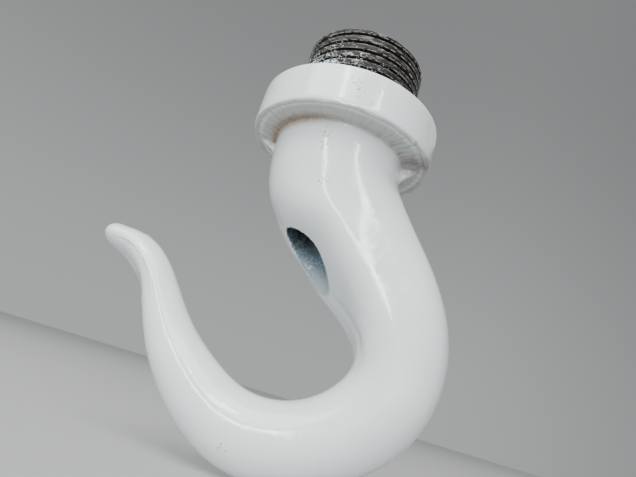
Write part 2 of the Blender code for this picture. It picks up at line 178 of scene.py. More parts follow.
def join_rings(shape, first, second):
    sides = len(first)
    for side in range(sides):
        after = (side + 1) % sides
        shape.faces.new((first[side], first[after], second[after], second[side]))


def join_with_ends(shape, rings):
    """Join a row of rings and close its first and last."""
    for first, second in zip(rings, rings[1:]):
        join_rings(shape, first, second)
    shape.faces.new(rings[0])
    shape.faces.new(rings[-1])


def join_round(shape, rings):
    """Join a row of rings and its last to its first."""
    for place, ring in enumerate(rings):
        join_rings(shape, ring, rings[(place + 1) % len(rings)])


def turned(profile, sides, join):
    """Spin an outline of (radius, height) about Z."""
    shape = bmesh.new()
    join(shape, [ring_of_points(shape, radius, height, sides) for radius, height in profile])
    return shape


def apply_modifiers(piece):
    """Keep the evaluated mesh and drop the modifiers."""
    evaluated = piece.evaluated_get(bpy.context.evaluated_depsgraph_get())
    mesh = bpy.data.meshes.new_from_object(evaluated)
    piece.modifiers.clear()
    piece.data = mesh


def boolean(target, operation, name, shape):
    """Join a shape to an object, or cut it out of the object."""
    other = add_object(name, shape)
    change = target.modifiers.new(name, "BOOLEAN")
    change.operation = operation
    change.solver = "EXACT"
    change.object = other
    apply_modifiers(target)
    bpy.data.objects.remove(other, do_unlink=True)


def smooth_step(low, high, value):
    share = np.clip((value - low) / (high - low), 0.0, 1.0)
    return share * share * (3.0 - 2.0 * share)


# The forging

def natural_spline(knots, steps):
    """Sample the natural cubic spline through rows of knots, evenly along its length."""
    knots = np.array(knots, dtype=float)
    spans = np.linalg.norm(np.diff(knots[:, :2], axis=0), axis=1)
    along = np.concatenate(([0.0], np.cumsum(spans)))
    count = len(knots)
    system = np.eye(count)
    rates = np.zeros_like(knots)
    for row in range(1, count - 1):
        before = spans[row - 1]
        after = spans[row]
        system[row, row - 1:row + 2] = (before, 2.0 * (before + after), after)
        slope_before = (knots[row] - knots[row - 1]) / before
        slope_after = (knots[row + 1] - knots[row]) / after
        rates[row] = 6.0 * (slope_after - slope_before)
    bend = np.linalg.solve(system, rates)
    samples = []
    for place in np.linspace(0.0, along[-1], steps + 1):
        row = min(int(np.searchsorted(along, place, side="right")) - 1, count - 2)
        span = spans[row]
        late = (place - along[row]) / span
        early = 1.0 - late
        straight = early * knots[row] + late * knots[row + 1]
        curved = (early ** 3 - early) * bend[row] + (late ** 3 - late) * bend[row + 1]
        samples.append(straight + curved * span ** 2 / 6.0)
    return np.array(samples)


def hook_section(shape, centre, tangent, size, squareness, turn):
    """One closed loop of the hook, square to the centre line, with a flatter throat side."""
    across = np.array((-tangent[1], tangent[0]))
    outer, throat, near, far = size
    points = []
    for side in range(SECTION_SIDES):
        angle = 2.0 * math.pi * side / SECTION_SIDES
        cosine = math.cos(angle)
        sine = math.sin(angle)
        stretch = 1.0
        thickness = outer
        if cosine < 0.0:
            power = squareness if sine > 0.0 else 2.0 + NEAR_CORNER * (squareness - 2.0)
            stretch = (abs(cosine) ** power + abs(sine) ** power) ** (-1.0 / power)
            thickness = throat
        out = thickness * cosine * stretch
        aside = (far if sine > 0.0 else near) * sine * stretch
        place = centre + across * (out * math.cos(turn) - aside * math.sin(turn))
        width = out * math.sin(turn) + aside * math.cos(turn)
        points.append(shape.verts.new((place[0], width, place[1])))
    return points


def hook_line():
    """The rows of the centre line in metres and radians, and the unit tangents."""
    line = natural_spline(CENTRE_LINE, CENTRE_LINE_STEPS)
    line[:, :6] *= MM
    line[:, 7] = np.radians(line[:, 7])
    tangents = np.gradient(line[:, :2], axis=0)
    tangents /= np.linalg.norm(tangents, axis=1)[:, None]
    return line, tangents


def hook_sweep():
    """The whole hook from the neck to the rounded tip."""
    line, tangents = hook_line()
    shape = bmesh.new()
    loops = []
    for row, tangent in zip(line, tangents):
        loops.append(hook_section(shape, row[:2], tangent, row[2:6], row[6], row[7]))
    tip = line[-1]
    forward = tangents[-1]
    for step in range(1, TIP_STEPS):
        turn = 0.5 * math.pi * step / TIP_STEPS
        centre = tip[:2] + forward * TIP_LENGTH * math.sin(turn)
        loops.append(hook_section(shape, centre, forward, tip[2:6] * math.cos(turn), 2.0, 0.0))
    for first, second in zip(loops, loops[1:]):
        join_rings(shape, first, second)
    shape.faces.new(loops[0])
    nose = tip[:2] + forward * TIP_LENGTH
    point = shape.verts.new((nose[0], 0.0, nose[1]))
    for side in range(SECTION_SIDES):
        shape.faces.new((loops[-1][side], loops[-1][(side + 1) % SECTION_SIDES], point))
    return shape


def quarter(steps):
    """Points of a quarter circle of radius 1: how far it has yet to go and how far it has sunk."""
    turns = [0.5 * math.pi * step / steps for step in range(steps + 1)]
    return [(1.0 - math.sin(turn), 1.0 - math.cos(turn)) for turn in turns]


def collar_shape():
    """The collar with its rounded edges and the fillet down to the neck."""
    inner = RECESS_RADIUS - 5.0 * MM
    profile = [(inner, 0.0)]
    for rest, sunk in quarter(6):
        profile.append((COLLAR_RADIUS - COLLAR_EDGE * rest, -COLLAR_EDGE * sunk))
    for rest, sunk in quarter(6):
        profile.append((COLLAR_RADIUS - COLLAR_EDGE * sunk, -COLLAR_HEIGHT + COLLAR_EDGE * rest))
    for rest, sunk in quarter(8):
        reach = NECK_RADIUS - FILLET_SINK + NECK_FILLET * rest
        profile.append((reach, -COLLAR_HEIGHT - NECK_FILLET * sunk))
    profile.append((inner, -COLLAR_HEIGHT - NECK_FILLET))
    return turned(profile, 256, join_with_ends)


def flash_web(side, reach, drop, thickness, aside):
    """A thin web of forging flash between the neck and the collar."""
    root = NECK_RADIUS - 2.1 * MM
    outline = (
        (root, -COLLAR_HEIGHT + 1.1 * MM),
        (reach, -COLLAR_HEIGHT + 1.1 * MM),
        (reach, -COLLAR_HEIGHT - 0.6 * MM),
        (NECK_RADIUS + 2.3 * MM, -COLLAR_HEIGHT - 0.45 * drop),
        (root, -COLLAR_HEIGHT - drop),
    )
    shape = bmesh.new()
    sheets = []
    for edge in (-0.55, 0.45):
        sheets.append([shape.verts.new((side * x, aside + edge * thickness, z)) for x, z in outline])
    join_with_ends(shape, sheets)
    return shape


def axial_cutter():
    """The stepped bore, narrowed by its coat of paint below the nut."""
    return turned((
        (RECESS_RADIUS, 2.0 * MM),
        (RECESS_RADIUS, -RECESS_DEPTH),
        (BUSH_BORE_RADIUS, -RECESS_DEPTH),
        (BUSH_BORE_RADIUS, -SHOULDER_DEPTH),
        (BORE_RADIUS, -SHOULDER_DEPTH),
        (BORE_RADIUS, -48.0 * MM),
        (BORE_RADIUS - 0.45 * MM, -50.0 * MM),
        (BORE_RADIUS - 0.45 * MM, -BORE_END),
    ), 160, join_with_ends)


def make_hook():
    """The forging as one skin: hook, collar and webs joined, bored, remeshed and softened."""
    hook = add_object("painted_hook", hook_sweep())
    boolean(hook, "UNION", "collar_guide", collar_shape())
    for name, *sizes in FLASH_WEBS:
        boolean(hook, "UNION", name, flash_web(*sizes))
    boolean(hook, "DIFFERENCE", "bore_cutter", axial_cutter())
    remesh = hook.modifiers.new("paint_skin", "REMESH")
    remesh.mode = "VOXEL"
    remesh.voxel_size = HOOK_VOXEL
    soften = hook.modifiers.new("soften", "SMOOTH")
    soften.factor = 0.5
    soften.iterations = 4
    apply_modifiers(hook)
    hook.data.shade_smooth()
    return hook


def vertex_rows(mesh, name):
    """The "co" or "normal" of each vertex, one row each."""
    values = np.empty(len(mesh.vertices) * 3, np.float32)
    mesh.vertices.foreach_get(name, values)
    return values.reshape(-1, 3).astype(float)


def add_layer(mesh, name, values):
    """Give each vertex a number that a material can read."""
    layer = mesh.attributes.new(name, "FLOAT", "POINT")
    layer.data.foreach_set("value", values.astype(np.float32))


def noise_field(places, wavelength, seed):
    """Perlin noise from -1 to 1 at each place."""
    shift = Vector((seed * 17.3, seed * -9.1, seed * 5.7))
    return np.array([noise.noise(Vector(place) / wavelength + shift) for place in places])


def bill_facet(places):
    """Flatten the outer side of the bill behind its tip and lean that flat towards -Y."""
    line, tangents = hook_line()
    rows = np.nonzero((line[:, 0] < BILL_FACET[0]) & (line[:, 1] > BILL_LOWEST))[0]
    near = np.nonzero(places[:, 0] < BILL_FACET[0])[0]
    flat = places[near][:, (0, 2)]
    gaps = ((flat[:, None, :] - line[None, rows, :2]) ** 2).sum(axis=2)
    row = rows[np.argmin(gaps, axis=1)]
    across = np.stack([-tangents[row, 1], tangents[row, 0]], axis=1)
    out = ((flat - line[row, :2]) * across).sum(axis=1)
    width = places[near, 1]
    cosine = np.maximum(out / line[row, 2], 0.0)
    sine = np.abs(width / line[row, 4])
    length = np.maximum(np.hypot(cosine, sine), 1e-6)
    power = BILL_SQUARENESS
    stretch = ((cosine / length) ** power + (sine / length) ** power) ** (-1.0 / power)
    share = smooth_step(BILL_FACET[0], BILL_FACET[1], line[row, 0])
    share *= smooth_step(BILL_FACET[3], BILL_FACET[2], line[row, 0])
    grown = share * (stretch - 1.0)
    lean = share * BILL_LEAN * width * smooth_step(0.0, 0.5, cosine)
    outward = grown * np.maximum(out, 0.0) + lean
    moved = places.copy()
    moved[near, 0] += outward * across[:, 0]
    moved[near, 1] += grown * width
    moved[near, 2] += outward * across[:, 1]
    return moved


def sculpt_paint(hook):
    """Press the forging's unevenness and the paint's waviness into the mesh."""
    mesh = hook.data
    places = bill_facet(vertex_rows(mesh, "co"))
    normals = vertex_rows(mesh, "normal")
    x, y, z = places.T
    reach = np.hypot(x, y)
    inward = (x * normals[:, 0] + y * normals[:, 1]) / np.maximum(reach, 1e-6) < -0.3
    bore = inward & (reach > 0.9 * BORE_RADIUS) & (reach < 1.04 * BORE_RADIUS)
    bore &= (z < -SHOULDER_DEPTH + 1.0 * MM) & (z > -BORE_END)
    inside = (z > -SHOULDER_DEPTH - 1.0 * MM) & (reach < BORE_RADIUS + 1.0 * MM)
    inside |= (z > -RECESS_DEPTH - 1.0 * MM) & (reach < RECESS_RADIUS + 0.6 * MM) & (normals[:, 2] > -0.5)
    shown = np.where(bore | inside, 0.0, 1.0)
    lift = np.zeros(len(places))
    for seed, (wavelength, height) in enumerate(PAINT_WAVES, start=1):
        lift += height * noise_field(places, wavelength, seed)
    on_neck = smooth_step(-COLLAR_HEIGHT + 1.0 * MM, -COLLAR_HEIGHT - 4.0 * MM, z)
    lift *= 0.45 + 0.55 * on_neck
    lift += parting_line(places, normals) * on_neck
    lift += collar_underside(places, normals)
    lift += paint_blemishes(places) + throat_crease(places)
    places += normals * (lift * shown)[:, None]
    mesh.vertices.foreach_set("co", places.astype(np.float32).ravel())
    add_layer(mesh, "bore", bore_share(places, bore, reach))
    add_layer(mesh, "bare", np.where(inside, 1.0, 0.0))
    mesh.update()


def nearest_gaps(places, from_rows, to_rows):
    tree = kdtree.KDTree(len(to_rows))
    for row in to_rows:
        tree.insert(Vector(places[row]), int(row))
    tree.balance()
    return np.array([tree.find(Vector(places[row]))[2] for row in from_rows])


def bell(offset, width):
    return np.exp(-((offset / width) ** 2))


def bore_share(places, bore, reach):
    """1 well inside the bore, 0 well outside its rim and 0.5 on the rim."""
    z = places[:, 2]
    near = (reach < 18.0 * MM) & (z < -44.0 * MM) & (z > -BORE_END)
    inner = np.nonzero(near & bore)[0]
    outer = np.nonzero(near & ~bore)[0]
    share = np.where(bore, 1.0, 0.0)
    for rows, others, sign in ((inner, outer, 1.0), (outer, inner, -1.0)):
        gaps = nearest_gaps(places, rows, others)
        share[rows] = np.clip(0.5 + sign * gaps / RIM_WIDTH, 0.0, 1.0)
    return share


def parting_line(places, normals):
    """A low ridge of trimmed flash along the outside of the bend, in the hook's plane."""
    x, y, z = places.T
    outward = normals[:, 0] * (x - BOWL_CENTRE[0]) + normals[:, 2] * (z - BOWL_CENTRE[1])
    facing = (outward > 0.0) & (np.abs(normals[:, 1]) < 0.5) & (z < -60.0 * MM)
    drift = 0.5 * MM * np.sin(x * 90.0) + 0.3 * MM * np.sin(z * 210.0)
    return 0.22 * MM * bell(y - drift, 0.8 * MM) * facing


def collar_underside(places, normals):
    """The paint's rolled lip round the collar's lower edge, and radial file marks inside it."""
    x, y, z = places.T
    reach = np.hypot(x, y)
    angle = np.arctan2(y, x)
    facing = smooth_step(-0.5, -0.9, normals[:, 2])
    near = smooth_step(-COLLAR_HEIGHT - 2.0 * MM, -COLLAR_HEIGHT - 0.5 * MM, z)
    wobble = 0.6 + 0.4 * np.sin(angle * 7.0 + 1.3 * np.sin(angle * 3.0)) * np.sin(angle * 19.0 + 2.0)
    lip = 1.0 * MM * wobble * bell(reach - COLLAR_RADIUS + 1.1 * MM, 0.7 * MM)
    lip -= 0.6 * MM * bell(reach - COLLAR_RADIUS + 3.2 * MM, 1.4 * MM)
    marks = np.sin(angle * 74.0 + 1.4 * np.sin(angle * 9.0)) * 0.6 + np.sin(angle * 41.0 + 0.8) * 0.4
    band = smooth_step(COLLAR_RADIUS - 1.4 * MM, COLLAR_RADIUS - 2.6 * MM, reach)
    aside = smooth_step(12.0 * MM, 26.0 * MM, np.abs(x))
    return (lip + 0.16 * MM * marks * band * aside) * facing * near


# Lumps and dents: place, radius and height, in millimetres
BLEMISHES = (
    ((-31.0, -1.0, -20.5), 2.0, 0.5),
    ((-32.6, -2.5, -17.6), 1.6, 0.6),
    ((30.6, -3.6, -18.6), 2.4, 1.2),
    ((29.0, -5.5, -20.0), 1.6, 0.5),
    ((32.6, -5.2, -17.2), 0.9, 0.7),
    ((29.5, -22.9, -16.9), 1.0, 0.5),
    ((31.3, -20.6, -17.0), 0.8, -0.5),
    ((-66.3, 2.0, -72.0), 1.3, 0.45),
    ((-57.6, -2.0, -98.5), 2.6, 0.45),
    ((14.0, -3.0, -77.5), 2.0, 0.25),
    ((27.2, -9.0, -90.5), 2.6, -0.22),
    ((12.8, -25.0, -45.8), 2.6, -0.1),
    ((-2.7, -27.1, -22.3), 2.2, -0.08),
)


def paint_blemishes(places):
    lift = np.zeros(len(places))
    for centre, radius, height in BLEMISHES:
        gap = np.linalg.norm(places - np.array(centre) * MM, axis=1)
        lift += height * MM * bell(gap, radius * MM)
    return lift


# The near edge of the throat's flat, below the opening
CREASE = (
    (16.0, 0.2, -78.5),
    (22.5, -4.5, -85.0),
    (27.4, -8.2, -90.9),
    (28.6, -10.0, -97.0),
    (26.0, -10.5, -103.0),
)
CREASE_DEPTH = 0.38 * MM
CREASE_WIDTH = 2.8 * MM


def throat_crease(places):
    lift = np.zeros(len(places))
    for first, last in zip(CREASE, CREASE[1:]):
        start = np.array(first) * MM
        along = np.array(last) * MM - start
        share = np.clip((places - start) @ along / (along @ along), 0.0, 1.0)
        gap = np.linalg.norm(places - start - share[:, None] * along, axis=1)
        lift = np.minimum(lift, -CREASE_DEPTH * bell(gap, CREASE_WIDTH))
    return lift


# The suspension stud

STUD_SIDES = 300
THREAD_PITCH = 4.0 * MM
THREAD_DEPTH = 1.75 * MM
SPIGOT_RADIUS = 23.5 * MM
SPIGOT_DEPTH = 1.8 * MM
STEM_RADIUS = 6.0 * MM
STEM_END = 46.5 * MM
STEM_PITCH = 1.75 * MM
STEM_THREAD_DEPTH = 0.75 * MM
STEM_THREAD_TOP = 33.0 * MM
STEM_ROW_GAP = 0.22 * MM
THREAD_ROW_GAP = 0.16 * MM
TOP_ROUNDING = 0.4 * MM
# The centre hole in the top face: radius and depth
CENTRE_HOLE = ((4.2 * MM, 1.0 * MM), (2.0 * MM, 3.0 * MM), (1.0 * MM, 4.0 * MM))


def thread_share(phase):
    """How far out the worn thread reaches: wide flat crests, narrow grooves."""
    turns = (0.0, 0.50, 0.56, 0.72, 0.78, 0.94, 1.0)
    shares = (1.0, 0.97, 0.86, 0.04, 0.04, 0.90, 1.0)
    return np.interp(phase % 1.0, turns, shares)


def make_stud():
    """The threaded stub with its worn thread, the spigot in the collar and the stem below."""
    angles = np.arange(STUD_SIDES) * (2.0 * math.pi / STUD_SIDES)
    turn = np.arange(STUD_SIDES) / STUD_SIDES
    rows = []

    def round_row(height, radius):
        rows.append((height, np.full(STUD_SIDES, radius)))

    round_row(-STEM_END, STEM_RADIUS - 1.1 * MM)
    round_row(-STEM_END + 0.8 * MM, STEM_RADIUS - 0.3 * MM)
    for height in np.arange(-STEM_END + 1.0 * MM, -STEM_THREAD_TOP, STEM_ROW_GAP):
        wave = np.abs(((height / STEM_PITCH - turn) % 1.0) * 2.0 - 1.0)
        rows.append((height, STEM_RADIUS - STEM_THREAD_DEPTH * wave))
    round_row(-STEM_THREAD_TOP + 0.4 * MM, STEM_RADIUS - 0.4 * MM)
    round_row(-STEM_THREAD_TOP + 1.0 * MM, STEM_RADIUS)
    round_row(-SPIGOT_DEPTH, STEM_RADIUS)
    round_row(-SPIGOT_DEPTH, SPIGOT_RADIUS - 0.5 * MM)
    round_row(-SPIGOT_DEPTH + 0.5 * MM, SPIGOT_RADIUS)
    round_row(-0.1 * MM, SPIGOT_RADIUS)
    crest = []
    start = len(rows)
    for height in np.arange(0.0, THREAD_LENGTH - TOP_ROUNDING, THREAD_ROW_GAP):
        share = thread_share(height / THREAD_PITCH - turn)
        edge = min(height, THREAD_LENGTH - height)
        limit = SPIGOT_RADIUS - 0.6 * MM + 1.1 * edge
        reach = THREAD_RADIUS - 0.06 * MM - THREAD_DEPTH * (1.0 - share)
        rows.append((height, np.minimum(reach, limit)))
        crest.append(np.where(reach > limit, 0.8, share))
    for rest, sunk in quarter(3):
        round_row(THREAD_LENGTH - TOP_ROUNDING * rest, SPIGOT_RADIUS - 0.6 * MM - TOP_ROUNDING * sunk)
    for radius in (18.0 * MM, 10.0 * MM, 5.2 * MM):
        round_row(THREAD_LENGTH, radius)
    for radius, depth in CENTRE_HOLE:
        round_row(THREAD_LENGTH - depth, radius)
    heights = np.array([row[0] for row in rows])
    radii = np.array([row[1] for row in rows])
    worn = np.zeros_like(radii)
    worn[start:start + len(crest)] = crest
    cosines = np.cos(angles)
    sines = np.sin(angles)
    for row in range(start, start + len(crest)):
        for side in range(STUD_SIDES):
            radius = radii[row, side]
            spot = Vector((radius * cosines[side], radius * sines[side], heights[row]))
            rough = noise.noise(spot / (1.3 * MM))
            dent = max(0.0, noise.noise(spot / (3.1 * MM) + Vector((7.0, 3.0, 1.0))) - 0.28)
            radii[row, side] += 0.05 * MM * rough - 0.9 * MM * dent * worn[row, side]
    reach = radii.ravel()
    points = np.stack([reach * np.tile(cosines, len(rows)), reach * np.tile(sines, len(rows)),
                       np.repeat(heights, STUD_SIDES)], axis=1)
    faces = []
    top = (len(rows) - 1) * STUD_SIDES
    for low in range(0, top, STUD_SIDES):
        high = low + STUD_SIDES
        for side in range(STUD_SIDES):
            after = (side + 1) % STUD_SIDES
            faces.append((low + side, low + after, high + after, high + side))
    faces.append(tuple(range(STUD_SIDES - 1, -1, -1)))
    faces.append(tuple(range(top, top + STUD_SIDES)))
    mesh = bpy.data.meshes.new("threaded_stub")
    mesh.from_pydata(points.tolist(), [], faces)
    shade_with_edges(mesh, 50.0)
    add_layer(mesh, "crest", worn.ravel())
    return new_object("threaded_stub", mesh)


# Pieces inside the neck

BEARING_BORE = 6.4 * MM
BUSH_BORE = 6.3 * MM
BUSH_GROOVE = 6.8 * MM
CAGE_BORE = 6.55 * MM
POCKET_RADIUS = 2.0 * MM
BALL_CIRCLE = 8.95 * MM
NUT_BORE = 6.35 * MM
NUT_CHAMFER_BORE = 6.9 * MM
NUT_SIDES = 120
NUT_SLOT = (40.0 * MM, 3.6 * MM, 8.4 * MM)
PIN_BEND = 1.4 * MM
PIN_SIDES = 20
RING_SIDES = 128
CORNER_STEPS = 3


def cut_corners(outline, cut):
    """Round every corner of a closed outline of (radius, height)."""
    points = []
    count = len(outline)
    for place in range(count):
        corner = Vector(outline[place])
        before = Vector(outline[place - 1]) - corner
        after = Vector(outline[(place + 1) % count]) - corner
        size = min(cut, 0.45 * before.length, 0.45 * after.length)
        first = corner + before.normalized() * size
        last = corner + after.normalized() * size
        for step in range(CORNER_STEPS + 1):
            share = step / CORNER_STEPS
            point = first * (1.0 - share) ** 2 + corner * 2.0 * share * (1.0 - share) + last * share ** 2
            points.append((point.x, point.y))
    return points


def ring_piece(name, outline, cut=0.25 * MM):
    """A turned ring with rounded corners."""
    shape = turned(cut_corners(outline, cut), RING_SIDES, join_round)
    return add_object(name, shape, smooth_angle=40.0)


def level(node):
    low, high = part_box(node)
    return low.z, high.z, high.x


def make_seal():
    """A rubber ring with a raised lip against the stud and a groove in its top."""
    low, high, outer = level("dust_seal")
    inner = 23.85 * MM
    return ring_piece("rubber_seal", (
        (inner + 0.5 * MM, low), (outer - 0.05 * MM, low), (outer - 0.05 * MM, high - 0.3 * MM),
        (outer - 0.8 * MM, high - 0.05 * MM), (outer - 1.5 * MM, high - 0.5 * MM),
        (inner + 1.7 * MM, high - 0.9 * MM), (inner + 0.9 * MM, high - 0.02 * MM),
        (inner, high - 0.02 * MM),
    ), 0.3 * MM)


def make_wear_ring():
    low, high, outer = level("wear_washer")
    inner = 9.6 * MM
    return ring_piece("wear_ring", (
        (inner, low), (outer, low), (outer, high), (16.6 * MM, high), (16.2 * MM, high - 0.35 * MM),
        (15.8 * MM, high - 0.35 * MM), (15.4 * MM, high), (inner, high),
    ))


def make_bush():
    """A sleeve with a grease groove round the middle of its bore."""
    low, high, outer = level("stem_bush")
    middle = 0.5 * (low + high)
    return ring_piece("bronze_sleeve", (
        (BUSH_BORE, low), (outer, low), (outer, high), (BUSH_BORE, high),
        (BUSH_BORE, middle + 1.0 * MM), (BUSH_GROOVE, middle + 0.6 * MM),
        (BUSH_GROOVE, middle - 0.6 * MM), (BUSH_BORE, middle - 1.0 * MM),
    ))


def make_race(node, name, groove_up):
    """A flat ring with a shallow rolled groove on the side of the balls."""
    low, high, outer = level(node)
    face, back = (high, low) if groove_up else (low, high)
    inward = -1.0 if groove_up else 1.0
    outline = [(BEARING_BORE, back), (outer, back), (outer, face)]
    for share in (1.0, 0.6, 0.2, -0.2, -0.6, -1.0):
        depth = 0.3 * MM * (1.0 - share * share)
        outline.append((BALL_CIRCLE + share * 1.1 * MM, face + inward * depth))
    outline.append((BEARING_BORE, face))
    return ring_piece(name, outline, 0.18 * MM)


def make_plain_washer():
    """A flat ring under the nut."""
    low, high, outer = level("nut_washer")
    return ring_piece("pressed_washer", (
        (BEARING_BORE, low), (outer, low), (outer, high), (BEARING_BORE, high),
    ), 0.4 * MM)


def ball_places():
    """Each ball's node, centre and radius."""
    for number in range(1, 11):
        low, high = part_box(f"ball_{number}")
        yield f"ball_{number}", 0.5 * (low + high), 0.5 * (high.z - low.z)


def make_ball(node, centre, radius):
    shape = bmesh.new()
    bmesh.ops.create_icosphere(shape, subdivisions=3, radius=radius)
    bmesh.ops.translate(shape, verts=shape.verts, vec=centre)
    return add_object(f"steel_{node}", shape)


def make_cage():
    """A pressed ring with ten round pockets."""
    low, high, outer = level("ball_cage")
    middle = 0.5 * (low + high)
    cage = ring_piece("pocket_ring", (
        (CAGE_BORE, low), (outer, low), (outer, high), (CAGE_BORE, high),
    ), 0.3 * MM)
    cutter = bmesh.new()
    for _, centre, _ in ball_places():
        bmesh.ops.create_cone(
            cutter, cap_ends=True, segments=40, radius1=POCKET_RADIUS, radius2=POCKET_RADIUS,
            depth=6.0 * MM, matrix=Matrix.Translation((centre.x, centre.y, middle)))
    boolean(cage, "DIFFERENCE", "pocket_cutter", cutter)
    shade_with_edges(cage.data, 40.0)
    return cage


def make_nut():
    """A slotted hexagon nut with chamfered corners, flats across X, six slots in its lower end."""
    low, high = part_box("castle_nut")
    half_flats = high.x
    corner = half_flats / math.cos(math.radians(30.0))
    levels = (
        (low.z, -1.1 * MM), (low.z + 0.9 * MM, 0.4 * MM),
        (high.z - 0.9 * MM, 0.4 * MM), (high.z, -1.1 * MM),
    )
    shape = bmesh.new()
    rings = [ring_of_points(shape, NUT_CHAMFER_BORE, low.z, NUT_SIDES)]
    for height, trim in levels:
        points = []
        for side in range(NUT_SIDES):
            angle = math.radians(360.0 / NUT_SIDES * side)
            fold = (angle + math.pi / 6) % (math.pi / 3) - math.pi / 6
            reach = min(half_flats / math.cos(fold), corner + trim)
            points.append(shape.verts.new((reach * math.cos(angle), reach * math.sin(angle), height)))
        rings.append(points)
    rings.append(ring_of_points(shape, NUT_CHAMFER_BORE, high.z, NUT_SIDES))
    rings.append(ring_of_points(shape, NUT_BORE, high.z - 0.6 * MM, NUT_SIDES))
    rings.append(ring_of_points(shape, NUT_BORE, low.z + 0.6 * MM, NUT_SIDES))
    join_round(shape, rings)
    nut = add_object("slotted_nut", shape)
    for number in range(3):
        slot = bmesh.new()
        turn = Matrix.Rotation(math.radians(60.0 * number), 4, "Z")
        place = Matrix.Translation((0.0, 0.0, low.z)) @ turn @ Matrix.Diagonal((*NUT_SLOT, 1.0))
        bmesh.ops.create_cube(slot, size=1.0, matrix=place)
        boolean(nut, "DIFFERENCE", f"nut_slot_{number + 1}", slot)
    bevel = nut.modifiers.new("edges", "BEVEL")
    bevel.width = 0.2 * MM
    bevel.segments = 2
    bevel.limit_method = "ANGLE"
    bevel.angle_limit = math.radians(35.0)
    apply_modifiers(nut)
    shade_with_edges(nut.data, 40.0)
    return nut


def half_round_bar(shape, path, radius, round_side):
    """A bar along a path in the XZ plane, round on one side of it and flat on the other."""
    rings = []
    for place, point in enumerate(path):
        before = path[max(place - 1, 0)]
        after = path[min(place + 1, len(path) - 1)]
        along = Vector((after[0] - before[0], 0.0, after[1] - before[1])).normalized()
        across = Vector((-along.z, 0.0, along.x))
        points = []
        for side in range(PIN_SIDES):
            angle = 2.0 * math.pi * side / PIN_SIDES
            out = max(math.cos(angle) * radius * round_side, 0.03 * radius) * round_side
            spot = Vector((point[0], 0.0, point[1])) + across * out
            spot.y += math.sin(angle) * radius
            points.append(shape.verts.new(spot))
        rings.append(points)
    join_with_ends(shape, rings)


def make_split_pin():
    """Two half-round legs through the nut, an eye at one end, the long leg bent down."""
    low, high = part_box("split_pin")
    radius = high.y
    height = high.z - radius
    end = high.x - radius
    shape = bmesh.new()
    straight = [(low.x + 0.9 * MM, height), (0.0, height), (end - 1.6 * MM, height)]
    bent = list(straight)
    for rest, sunk in quarter(6)[1:]:
        bent.append((end - PIN_BEND * rest, height - PIN_BEND * sunk))
    bent.append((end, low.z + 0.1 * MM))
    half_round_bar(shape, straight, radius * 0.96, 1.0)
    half_round_bar(shape, bent, radius * 0.96, -1.0)
    eye = Matrix.Translation((low.x + radius, 0.0, height)) @ Matrix.Diagonal((1.0, 1.0, 0.98, 1.0))
    bmesh.ops.create_uvsphere(shape, u_segments=24, v_segments=14, radius=radius, matrix=eye)
    return add_object("folded_pin", shape, smooth_angle=40.0)


# Materials

def map_range(tree, value, low, high, bottom, top):
    """A smooth step of a node's value from bottom at low to top at high."""
    node = tree.nodes.new("ShaderNodeMapRange")
    node.interpolation_type = "SMOOTHSTEP"
    tree.links.new(value, node.inputs["Value"])
    for name, number in (("From Min", low), ("From Max", high), ("To Min", bottom), ("To Max", top)):
        node.inputs[name].default_value = number
    return node.outputs[0]


